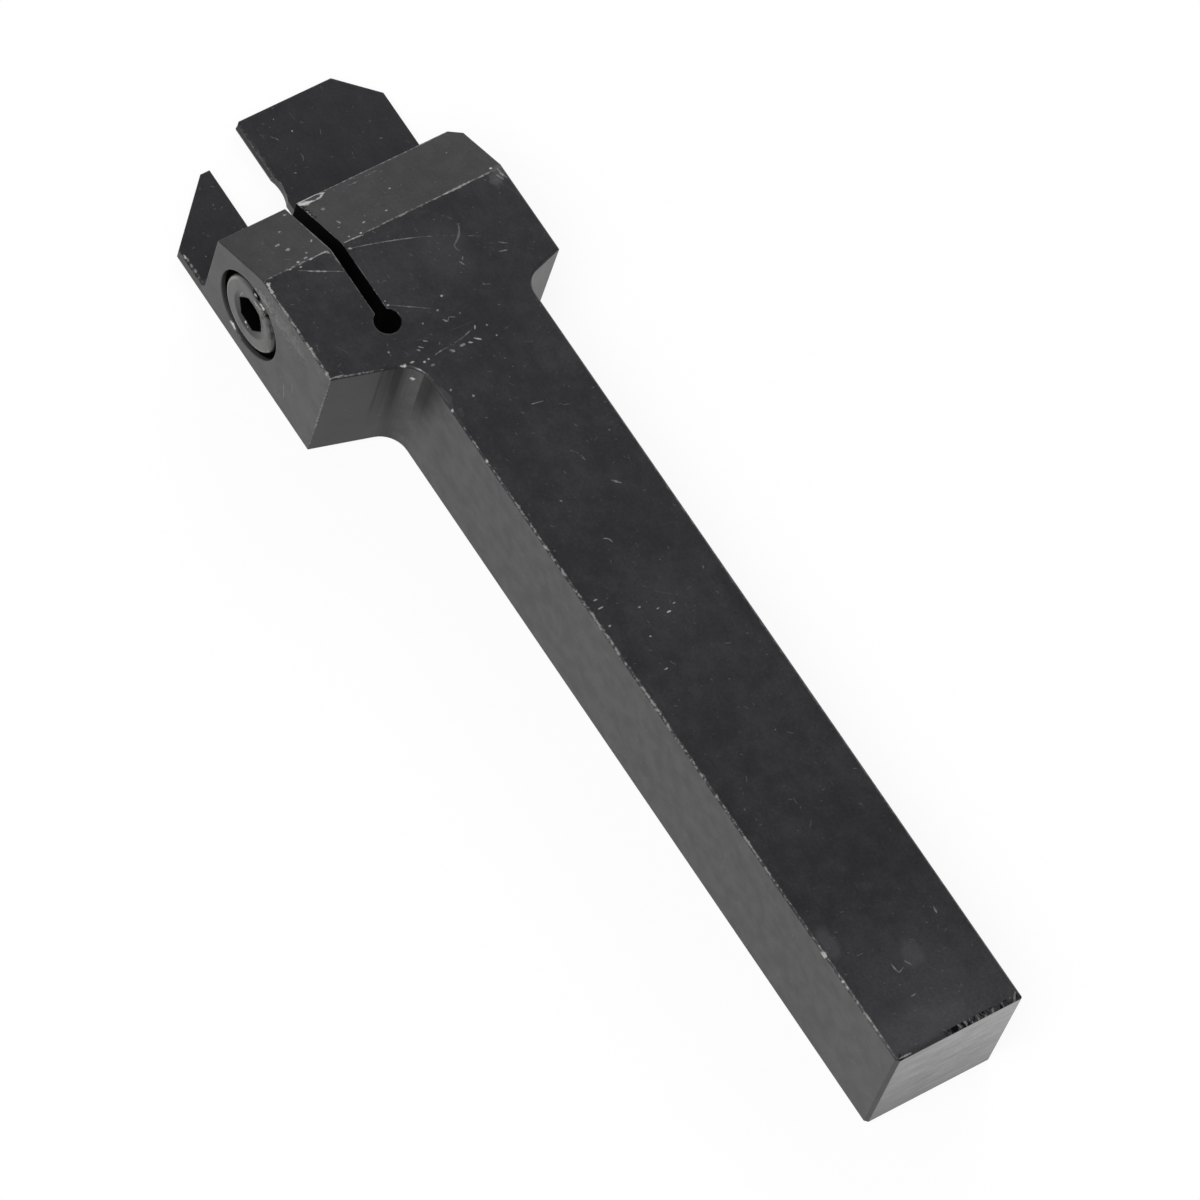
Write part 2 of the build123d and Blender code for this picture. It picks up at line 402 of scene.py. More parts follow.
def make_neck_lines():
    """The round of the upper neck: the cutter's dark line where the round starts and its stripes along it,
    with painted shade among the stripes and where the shank starts, and a band of painted light that ends
    sharply there."""
    tree, (point, facing), result = new_group(
        "neck_lines", {"Point": NOWHERE, "Facing": UPWARD}, "Dark", "Light"
    )
    x, y, z = split(tree, point)
    upright = ramp_down(tree, size_of(tree, split(tree, facing)[2]), 0.1, 0.5)
    near = times(tree, ramp_up(tree, x, 15.6 * MM, 16.2 * MM), ramp_up(tree, y, 4.3 * MM, 4.38 * MM))
    here = times(tree, near, upright)
    first = close_to(tree, y, NECK_ROUND_Y * MM, 0.04 * MM, 0.24 * MM)
    first = times(tree, first, ramp_up(tree, z, 3.0 * MM, 7.0 * MM))
    striped = times(tree, ramp_up(tree, y, 5.32 * MM, 5.5 * MM), ramp_down(tree, y, 7.2 * MM, 7.3 * MM))
    stretched = vector_node(tree, "MULTIPLY", point, (0.0, 2600.0, 30.0))
    lines = noise(tree, stretched, 1.0, 2.0, Roughness=0.7)
    stripes = times_plus(tree, ramp_up(tree, lines, 0.42, 0.58), 0.5, 0.2)
    # Painted shade: a darker band along the middle of the round
    darkest = close_to(tree, y, 5.85 * MM, 0.1 * MM, 0.45 * MM)
    stripes = times(tree, strongest(tree, stripes, times(tree, darkest, 0.95)), striped)
    stripes = times(tree, stripes, ramp_up(tree, z, 0.5 * MM, 9.0 * MM))
    # Painted shade where the shank starts
    shank_start = ramp_down(tree, x, 18.7 * MM, SHANK_START_X * MM)
    shank_start = times(tree, shank_start, ramp_up(tree, x, 15.9 * MM, 18.6 * MM))
    shank_start = times(tree, times(tree, shank_start, 0.78), ramp_up(tree, z, 4.0 * MM, 9.5 * MM))
    dark = strongest(tree, times(tree, first, 0.75), stripes, shank_start)
    # Painted light: a lighter band along the shank's start
    band = ramp_down(tree, y, 5.2 * MM, 5.4 * MM)
    band = times(tree, band, ramp_up(tree, x, SHANK_START_X * MM, 18.84 * MM))
    band = times(tree, band, ramp_up(tree, z, 4.0 * MM, 9.0 * MM))
    fill(tree, result, {"Dark": times(tree, dark, here), "Light": times(tree, band, here)})
    return tree


def make_sawn_edge():
    """The sawn end: slanting smears on its face, and short black bars torn along its upper edge
    with bright burrs between them."""
    tree, (point,), result = new_group("sawn_edge", {"Point": NOWHERE}, "Notches", "Burrs", "Streaks")
    x, y, z = split(tree, point)
    inward = minus(tree, x, times_plus(tree, y, SAWN_LEAN, SAWN_X * MM))
    stretched = vector_node(tree, "MULTIPLY", point, (900.0, 3400.0, 300.0))
    teeth = noise(tree, stretched, 1.0, 2.0, Roughness=0.7)
    band = ramp_down(tree, inward, 0.42 * MM, 0.52 * MM)
    bars = ramp_up(tree, teeth, 0.49, 0.55)
    on_top = ramp_up(tree, z, 11.8 * MM, 11.9 * MM)
    half = ramp_down(tree, y, -1.2 * MM, 0.4 * MM)
    edge = times(tree, band, on_top, half)
    torn = times(tree, edge, bars)
    burrs = times(tree, edge, ramp_down(tree, teeth, 0.36, 0.42))
    soft = times(tree, ramp_down(tree, inward, 0.0, 0.7 * MM), times(tree, on_top, 0.3))
    slant = {"Vector": point, "Rotation": (0.45, 0.0, 0.0), "Scale": (1.0, 300.0, 1400.0)}
    slanted = put(tree, "ShaderNodeMapping", slant).outputs[0]
    streaks = noise(tree, slanted, 1.0, 4.0, Roughness=0.65)
    high = times_plus(tree, z, 1.0 / (BAR_SIDE * MM), -0.5)
    far = times_plus(tree, y, -1.0 / (BAR_SIDE * MM), -0.13)
    fall = times_plus(tree, high, 0.8, times_plus(tree, streaks, 1.5, -0.25))
    fall = kept_to_one(tree, times_plus(tree, far, 0.5, fall))
    fill(tree, result, {"Notches": strongest(tree, torn, soft), "Burrs": burrs, "Streaks": fall})
    return tree


LAY_FLAT = make_lay_flat()
SHORT_SCRATCHES = make_short_scratches()
SPECKS = make_specks()
DRAWN_SCRATCH = make_drawn_scratch()
WORN_SPOT = make_worn_spot()
EDGE_RUB = make_edge_rub()
OXIDE_MOTTLE = make_oxide_mottle()
BORE_SHADING = make_bore_shading()
NECK_LINES_AND_SHADING = make_neck_lines()
SAWN_EDGE = make_sawn_edge()


# ---------------------------------------------------------------- marks, in mm

def land(x, y):
    """A place on the sloped land along the head's front."""
    return (x, y, BAR_TOP - (x - BEVEL_BACK) * BEVEL_DROP_PER_MM)


# A place with two numbers is on the bar's top, and a bow with two numbers is level.
STRAIGHT = (0, 0)
PATCH_REACH = 0.2  # a patch's third half size, where two are given

# Scratches that run from one place to another: start, end, bow, width, how broken, strength
HEAD_SCRATCHES = [
    ((29.1, 10.8), (25.4, 3.7), (0.22, 0.1), 0.07, 0.3, 0.42),
    ((25.4, 3.7), (23.6, 0.9), STRAIGHT, 0.07, 0.5, 0.22),
    ((31.47, 8.57), (29.68, 5.29), STRAIGHT, 0.07, 0.3, 0.28),
    ((31.1, 7.95), (30.3, 6.5), STRAIGHT, 0.09, 0.5, 0.5),
    ((31.3, 3.9), (29.5, -2.0), (0.1, 0.0), 0.07, 0.4, 0.34),
    ((29.5, -2.0), (27.3, -6.4), (0.1, 0.0), 0.06, 0.6, 0.26),
    ((29.05, -5.4), (27.6, -4.05), (-0.12, -0.16), 0.14, 0.1, 0.17),
    ((27.6, -4.05), (26.9, -4.15), (0, 0.06), 0.13, 0.2, 0.12),
    ((26.4, -4.1), (26.1, -3.9), STRAIGHT, 0.1, 0.3, 0.3),
    ((26.1, -3.6), (25.7, -3.8), STRAIGHT, 0.1, 0.3, 0.3),
    ((26.2, -7.4), (25.7, -8.1), STRAIGHT, 0.08, 0.4, 0.25),
    ((25.4, -7.0), (25.2, -7.7), STRAIGHT, 0.09, 0.3, 0.3),
    ((22.25, 0.51), (21.91, 0.25), STRAIGHT, 0.1, 0.1, 0.4),
    ((21.91, 0.25), (22.22, -0.06), STRAIGHT, 0.08, 0.2, 0.25),
    ((22.22, -0.06), (21.99, -0.51), STRAIGHT, 0.08, 0.2, 0.22),
    ((21.35, 3.0), (21.14, 2.7), STRAIGHT, 0.1, 0.1, 0.42),
    ((21.08, 3.64), (20.79, 3.31), STRAIGHT, 0.09, 0.1, 0.42),
    ((20.9, 3.9), (20.68, 3.71), STRAIGHT, 0.1, 0.1, 0.35),
    ((22.46, 5.7), (21.38, 6.05), (0.1, 0.1), 0.08, 0.5, 0.15),
    ((19.79, 2.84), (19.92, 1.5), (0.05, 0), 0.08, 0.6, 0.3),
    ((19.99, 0.79), (20.38, -1.03), (-0.05, 0), 0.12, 0.7, 0.28),
    ((20.59, -1.53), (20.3, -1.34), STRAIGHT, 0.13, 0.0, 0.5),
    ((19.66, -0.82), (19.26, -1.3), STRAIGHT, 0.09, 0.0, 0.8),
    ((19.5, -0.23), (19.35, -0.51), STRAIGHT, 0.11, 0.0, 0.6),
    ((20.14, 5.01), (20.09, 4.68), STRAIGHT, 0.13, 0.0, 0.7),
    ((32.0, -11.1), (30.9, -11.35), (0, 0.1), 0.13, 0.5, 0.4),
    ((31.5, -10.7), (30.9, -11.0), STRAIGHT, 0.1, 0.5, 0.3),
    ((31.92, 3.83), (31.81, 2.08), (0.05, 0), 0.1, 0.4, 0.6),
    ((31.3, 3.83), (31.16, 3.57), STRAIGHT, 0.12, 0.1, 0.55),
    (land(34.4, 2.76), land(34.0, 2.7), STRAIGHT, 0.15, 0.2, 0.32),
    (land(37.95, -1.1), land(37.5, -3.4), (-0.25, 0, 0.1), 0.08, 0.5, 0.35),
    ((48.13, -0.22, 1.1), (47.0, -1.37, 1.1), (0.12, 0.0), 0.1, 0.2, 0.2),
    ((45.1, -2.3, 1.1), (44.4, -2.15, 1.1), (0, -0.08), 0.1, 0.2, 0.12),
    ((26.53, 11.6, 3.8), (26.03, 11.6, 2.0), STRAIGHT, 0.1, 0.5, 0.2),
    ((25.6, 11.6, 5.1), (25.3, 11.6, 3.9), STRAIGHT, 0.1, 0.5, 0.18),
]
SHANK_SCRATCHES = [
    ((12.4, -1.7), (12.2, -2.7), STRAIGHT, 0.08, 0.3, 0.35),
    ((7.4, -2.2), (6.1, -2.8), (0, -0.2), 0.11, 0.3, 0.3),
    ((3.6, -3.7), (3.0, -4.3), STRAIGHT, 0.13, 0.3, 0.3),
    ((-0.5, -0.2), (-1.1, -0.7), (0.1, -0.1), 0.09, 0.3, 0.4),
    ((-42.9, -1.0), (-43.4, -1.3), STRAIGHT, 0.1, 0.4, 0.32),
    ((-42.6, 0.1), (-43.5, -0.05), (0, 0.05), 0.09, 0.4, 0.3),
    ((-43.5, -0.05), (-43.3, -0.6), STRAIGHT, 0.09, 0.4, 0.25),
    ((-40.1, -5.7), (-40.7, -5.6), STRAIGHT, 0.11, 0.4, 0.35),
    ((-45.7, 0.3), (-45.6, -0.2), STRAIGHT, 0.09, 0.4, 0.22),
]
# Edges that are rubbed bright in places, given in the same way
RUBBED_EDGES = [
    ((14.5, 4.35, 11.98), (-39.0, 4.35, 11.98), STRAIGHT, 0.19, 0.92, 0.42),
    ((-39.0, 4.35, 11.98), (-49.2, 4.35, 11.98), STRAIGHT, 0.16, 0.7, 0.4),
    ((31.9, 11.55, 11.97), (21.9, 11.55, 11.97), STRAIGHT, 0.14, 0.9, 0.5),
    ((21.86, 11.5), (20.52, 6.9), STRAIGHT, 0.13, 0.5, 0.5),
    ((21.9, 11.5), (21.7, 10.4), STRAIGHT, 0.1, 0.2, 0.45),
    ((19.63, 4.98), (18.88, 4.48), STRAIGHT, 0.14, 0.2, 0.6),
    ((20.24, 5.92), (20.0, 5.44), STRAIGHT, 0.2, 0.1, 1.0),
    (land(31.95, 11.4), land(31.95, 5.4), STRAIGHT, 0.13, 0.95, 0.3),
    (land(31.95, 2.0), land(31.95, -5.8), STRAIGHT, 0.12, 0.95, 0.32),
    (land(31.95, -5.8), land(32.0, -8.9), STRAIGHT, 0.16, 0.5, 0.5),
    (land(31.95, -8.9), land(32.0, -10.6), STRAIGHT, 0.12, 0.7, 0.4),
    ((31.85, 7.17), (31.9, 5.79), (0.05, 0), 0.1, 0.6, 0.7),
    ((31.95, 6.3, 11.98), (31.93, 5.6, 11.98), STRAIGHT, 0.16, 0.5, 0.75),
    ((31.93, 5.6), (31.6, 5.42), STRAIGHT, 0.13, 0.4, 0.6),
    (land(35.1, 5.2), land(31.95, 5.2), STRAIGHT, 0.1, 0.5, 0.22),
    ((31.87, 5.2), (30.4, 5.2), STRAIGHT, 0.11, 0.4, 0.32),
    (land(37.95, 1.4), land(37.95, -11.0), STRAIGHT, 0.12, 0.8, 0.3),
    ((-49.62, 4.1), (-49.66, 3.0), STRAIGHT, 0.11, 0.3, 0.6),
    ((-49.85, -6.9), (-49.3, -7.3), STRAIGHT, 0.12, 0.3, 0.35),
    ((21.8, 11.6, 11.9), (21.8, 11.6, 0.5), STRAIGHT, 0.13, 0.6, 0.34),
    ((49.6, 0.8, 1.1), (43.5, 0.95, 1.1), STRAIGHT, 0.3, 0.9, 0.07),
    ((41.5, 11.4, 1.1), (38.1, 11.4, 1.1), STRAIGHT, 0.16, 0.9, 0.4),
    ((16.5, -7.5), (-49.5, -7.5), STRAIGHT, 0.17, 0.55, 0.16),
    (land(37.84, 4.1), land(37.5, 2.9), (-0.08, 0, 0.04), 0.36, 0.0, 1.0),
    (land(37.97, 4.1), land(37.99, 2.2), STRAIGHT, 0.15, 0.1, 1.0),
    (land(37.97, 2.2), land(37.75, 1.5), STRAIGHT, 0.13, 0.1, 0.8),
    (land(37.77, 1.6), land(37.45, 3.0), (-0.12, -0.1, 0.06), 0.15, 0.1, 0.95),
]
# Bright chips and dents: middle, half sizes, how ragged and how strong
BRIGHT_CHIPS = [
    ((-39.3, 4.4), (0.42, 0.3, 0.5), 0.35, 0.9),
    ((-38.7, 4.35), (0.3, 0.14, 0.3), 0.8, 0.5),
    ((-42.0, 4.36), (0.18, 0.16), 0.3, 0.8),
    ((-42.6, 4.36, 11.95), (0.24, 0.12, 0.12), 0.6, 0.6),
    ((19.4, 4.95, 10.4), (0.26, 0.2, 0.3), 0.7, 0.85),
    ((20.2, 5.45), (0.09, 0.09), 0.3, 0.5),
    ((-4.8, 3.4), (0.1, 0.24), 0.3, 0.55),
    ((-5.6, 3.4), (0.08, 0.3), 0.2, 0.7),
    ((-7.0, 0.6), (0.08, 0.16), 0.4, 0.45),
    ((-7.8, -0.7), (0.08, 0.18), 0.4, 0.5),
    ((-8.45, -1.3), (0.1, 0.26), 0.3, 0.9),
    ((-8.0, -2.1), (0.07, 0.15), 0.4, 0.5),
    ((-9.6, 1.2), (0.1, 0.13), 0.4, 0.7),
    ((-7.3, 3.6), (0.14, 0.14), 0.6, 0.55),
    ((-12.6, 1.7), (0.1, 0.24), 0.4, 0.6),
    (land(33.1, -1.1), (0.12, 0.15), 0.4, 0.6),
    (land(36.0, 7.1), (0.13, 0.16), 0.4, 0.45),
    (land(35.1, -2.9), (0.1, 0.1), 0.4, 0.6),
    (land(33.6, 5.8), (0.1, 0.12), 0.4, 0.55),
    (land(34.8, 8.25), (0.12, 0.24), 0.6, 0.4),
    (land(33.9, 7.8), (0.16, 0.2), 0.8, 0.4),
    (land(37.4, 5.6), (0.14, 0.2), 0.5, 0.35),
    (land(32.3, 3.1), (0.11, 0.12), 0.4, 0.5),
    (land(32.1, 2.1), (0.12, 0.12), 0.3, 0.75),
    (land(33.0, 1.2), (0.1, 0.2), 0.6, 0.45),
    (land(36.2, 2.8), (0.25, 0.2), 0.9, 0.25),
    (land(32.3, -10.7), (0.15, 0.15), 0.2, 1.0),
    ((31.65, 8.2), (0.1, 0.14), 0.4, 0.65),
    ((31.85, 9.1), (0.1, 0.2), 0.8, 0.5),
    (land(32.2, 8.1), (0.13, 0.16), 0.5, 0.65),
    (land(32.25, 7.3), (0.1, 0.2), 0.5, 0.6),
    (land(32.7, 6.9), (0.13, 0.1), 0.5, 0.4),
    (land(33.7, 5.7), (0.09, 0.09), 0.4, 0.5),
    (land(36.3, 3.99), (0.14, 0.09), 0.6, 0.7),
    (land(36.65, 3.95), (0.1, 0.09), 0.6, 0.55),
    (land(33.65, 3.1), (0.1, 0.12), 0.5, 0.3),
    (land(37.3, -1.1), (0.1, 0.24), 0.6, 0.3),
    ((31.45, 11.4), (0.3, 0.2), 1.0, 1.0),
    ((30.8, 11.5), (0.3, 0.12, 0.14), 1.2, 0.7),
    ((29.0, 11.55, 11.95), (0.6, 0.12, 0.14), 1.4, 0.6),
    ((24.6, 11.55, 11.95), (0.7, 0.13, 0.14), 1.3, 0.6),
    ((22.4, 11.55, 11.95), (0.5, 0.16), 1.0, 0.6),
    ((47.2, -2.8, 1.1), (0.1, 0.1), 0.3, 0.55),
    ((43.7, -0.95, 1.1), (0.08, 0.08), 0.3, 0.6),
    ((25.84, 3.79), (0.09, 0.09), 0.3, 0.5),
    ((25.42, 3.78), (0.12, 0.16), 0.3, 0.6),
    ((22.67, 2.16), (0.1, 0.1), 0.3, 0.35),
    ((23.15, 0.42), (0.12, 0.16), 0.3, 0.35),
    ((24.13, -0.59), (0.14, 0.16), 0.3, 0.75),
    ((22.1, -1.06), (0.1, 0.1), 0.3, 0.25),
    ((20.17, -2.41), (0.12, 0.12), 0.4, 0.35),
    ((19.0, -2.62), (0.09, 0.09), 0.3, 0.4),
    ((21.74, 6.05), (0.12, 0.12), 0.4, 0.42),
    ((19.67, 3.95), (0.11, 0.13), 0.3, 0.75),
    ((19.74, 3.5), (0.1, 0.12), 0.3, 0.55),
    ((19.12, 3.49), (0.12, 0.22), 0.6, 0.25),
    ((19.47, 1.38), (0.22, 0.22), 0.7, 0.35),
    ((19.55, 0.35), (0.12, 0.25), 0.8, 0.4),
    ((16.53, 3.43), (0.15, 0.14), 0.4, 0.35),
    ((15.24, 2.08), (0.15, 0.14), 0.4, 0.35),
    ((14.9, 4.33), (0.16, 0.12), 0.5, 0.8),
    ((11.3, 4.33), (0.2, 0.1), 0.9, 0.6),
    ((9.8, 4.36), (0.2, 0.13), 0.6, 0.85),
    ((1.0, 4.33), (0.28, 0.13), 0.9, 0.75),
    ((41.2, 11.42, 1.1), (0.26, 0.12, 0.1), 0.5, 0.9),
    ((47.43, 1.0, 1.1), (0.16, 0.16), 0.3, 1.0),
    ((20.2, -11.0, 11.9), (0.3, 0.4, 0.4), 0.9, 0.6),
    ((33.7, 11.6, 1.75), (0.5, 0.2, 0.3), 0.6, 0.75),
    ((29.0, 11.58, 4.6), (0.3, 0.2, 0.5), 0.8, 0.55),
    ((31.0, 11.6, 9.9), (1.3, 0.2, 0.35), 1.6, 0.2),
    ((28.2, 11.6, 10.2), (2.6, 0.2, 0.9), 1.8, 0.09),
]
# Soft pale rubs, given in the same way
PALE_RUBS = [
    ((31.5, -11.0), (0.9, 0.9, 0.6), 1.0, 0.07),
    ((-38.6, 3.6), (1.8, 1.0, 0.6), 0.4, 0.045),
    ((-48.2, 1.5), (2.4, 5.5, 0.6), 0.3, 0.03),
    ((-42.6, -1.8), (1.4, 1.3, 0.5), 0.5, 0.03),
    ((16.2, 4.15), (1.9, 0.4, 0.1), 1.3, 0.045),
    ((27.5, -3.0), (3.6, 2.4, 0.5), 0.5, 0.018),
]
# Places where the surface is torn and black
DARK_CHIPS = [
    (land(37.1, 4.2), (0.7, 0.5, 0.5), 0.9, 0.95),
    (land(36.2, 4.05), (0.7, 0.3, 0.3), 1.0, 0.9),
    ((20.05, 5.7, 11.9), (0.2, 0.2), 0.4, 0.9),
    ((-49.6, 4.0), (0.3, 0.35), 0.6, 0.7),
    ((31.4, 11.6, 9.5), (1.3, 0.2, 0.14), 1.4, 0.6),
]
# Chips, bright spots and torn places on the screw's head, where keys have slipped
SCREW_BRIGHT = [
    ((33.55, 11.5, 2.45), (0.3, 0.2, 0.22), 0.6, 0.75),
    ((32.62, 11.45, 3.95), (0.16, 0.2, 0.16), 0.5, 1.0),
    ((32.25, 11.45, 3.8), (0.1, 0.2, 0.1), 0.5, 0.6),
    ((34.0, 11.5, 6.3), (0.1, 0.2, 0.14), 0.4, 0.5),
    ((31.55, 11.5, 8.72), (0.24, 0.2, 0.12), 0.8, 1.0),
    ((31.15, 11.5, 8.65), (0.2, 0.2, 0.14), 0.8, 1.0),
    ((32.3, 11.5, 8.9), (0.2, 0.2, 0.08), 0.8, 0.8),
    ((30.78, 11.5, 8.3), (0.12, 0.2, 0.1), 0.6, 0.6),
    ((31.7, 11.5, 8.1), (0.4, 0.2, 0.16), 1.3, 0.4),
    ((33.9, 11.5, 6.75), (0.12, 0.2, 0.1), 0.4, 0.7),
    ((29.2, 11.5, 4.5), (0.25, 0.2), 0.6, 0.35),
]
SCREW_BLACK = [
    ((32.3, 11.5, 8.8), (0.75, 0.3, 0.36), 0.5, 1.0),
    ((31.7, 11.5, 8.5), (0.5, 0.3, 0.34), 0.7, 1.0),
    ((30.75, 11.5, 8.25), (0.5, 0.3, 0.42), 0.6, 1.0),
    ((30.9, 11.5, 7.6), (0.25, 0.3), 0.6, 0.8),
    ((30.1, 11.5, 7.6), (0.6, 0.3, 0.5), 0.5, 0.5),
    ((29.5, 11.5, 6.9), (0.45, 0.3, 0.7), 0.4, 0.6),
    ((31.3, 11.5, 7.2), (0.5, 0.3, 0.3), 0.8, 0.45),
]

# ---------------------------------------------------------------- materials

# Bare steel for wear, and on the screw also for the rim's painted highlight
WEAR_AND_HIGHLIGHT_STEEL = colour(0.5, 0.49, 0.47)
# Near black for torn chips, and for the painted shade in the slit, the holes and the screw's socket
CHIP_AND_SHADE_BLACK = colour(0.004, 0.004, 0.004)

# The darkest and the lightest black on each kind of face. The land's and the sides' are lighter than the
# top's as painted light for how the lamps fall on those faces; the sawn end's is lighter partly from its
# own sawn finish and partly as painted light
TOP_TONES = colour(0.0172, 0.0166, 0.0202), colour(0.0285, 0.0278, 0.0318)
LAND_PAINTED_LIGHT_TONES = colour(0.026, 0.0256, 0.0275), colour(0.037, 0.0362, 0.038)
SIDE_PAINTED_LIGHT_TONES = colour(0.0295, 0.029, 0.03), colour(0.0525, 0.0512, 0.0512)
SAWN_TONES = colour(0.112, 0.111, 0.113), colour(0.278, 0.276, 0.28)
SCREW_TONES = colour(0.06, 0.0585, 0.0585), colour(0.118, 0.113, 0.111)
GRAIN_TONES = colour(0.82, 0.82, 0.82), colour(1.2, 1.2, 1.2)
SCREW_SHADE = colour(0.012, 0.012, 0.012)

RIM_HIGHLIGHT_WAY = (0.64, 0.0, -0.77)  # from the screw's axis towards the side of its rim that gets a painted highlight; the face's far side gets painted shade

FINE_PER_METRE = 3300.0  # how fine the grain is that breaks the marks up
COARSE_PER_METRE = 650.0


def empty_material(name):
    """A material without nodes, and its tree."""
    material = bpy.data.materials.new(name)
    material.use_nodes = True
    material.node_tree.nodes.clear()
    return material, material.node_tree


def start_finish(name, edge_radius):
    """A steel finish with its shader. Returned with it are the point on the piece, the face's own
    normal, the normal rounded at the edges, and the point laid flat."""
    material, tree = empty_material(name)
    shader = tree.nodes.new("ShaderNodeBsdfPrincipled")
    put(tree, "ShaderNodeOutputMaterial", {"Surface": shader.outputs[0]})
    point = put(tree, "ShaderNodeTexCoord").outputs["Object"]
    facing = put(tree, "ShaderNodeNewGeometry").outputs["True Normal"]
    rounded = put(tree, "ShaderNodeBevel", {"Radius": edge_radius}, samples=6).outputs[0]
    flat = use(tree, LAY_FLAT, Point=point, Facing=facing)[0]
    return material, tree, shader, point, facing, rounded, flat


def end_finish(tree, shader, rounded, black, metal, rough, height):
    """Leads a finish's values into its shader."""
    relief = {"Strength": 0.5, "Distance": 0.006 * MM, "Height": height, "Normal": rounded}
    bump = put(tree, "ShaderNodeBump", relief).outputs[0]
    fill(tree, shader, {"Base Color": black, "Metallic": metal, "Roughness": rough, "Normal": bump})


def draw_marks(tree, point, marks, grain, found):
    """Adds scratches given by their two ends to the mask found so far."""
    for start, end, bow, wide, broken, strength in marks:
        found = use(
            tree, DRAWN_SCRATCH, Point=point, Start=mm_or(start, BAR_TOP), End=mm_or(end, BAR_TOP),
            Bow=mm_or(bow, 0), Width=wide * MM, Breaks=broken, Strength=strength, Grain=grain, So_Far=found,
        )[0]
    return found


def draw_patches(tree, point, patches, grain, found):
    """Adds patches given by their middle to the mask found so far."""
    for place, radii, ragged, strength in patches:
        found = use(
            tree, WORN_SPOT, Point=point, Centre=mm_or(place, BAR_TOP), Radii=mm_or(radii, PATCH_REACH),
            Ragged=ragged, Strength=strength, Grain=grain, So_Far=found,
        )[0]
    return found


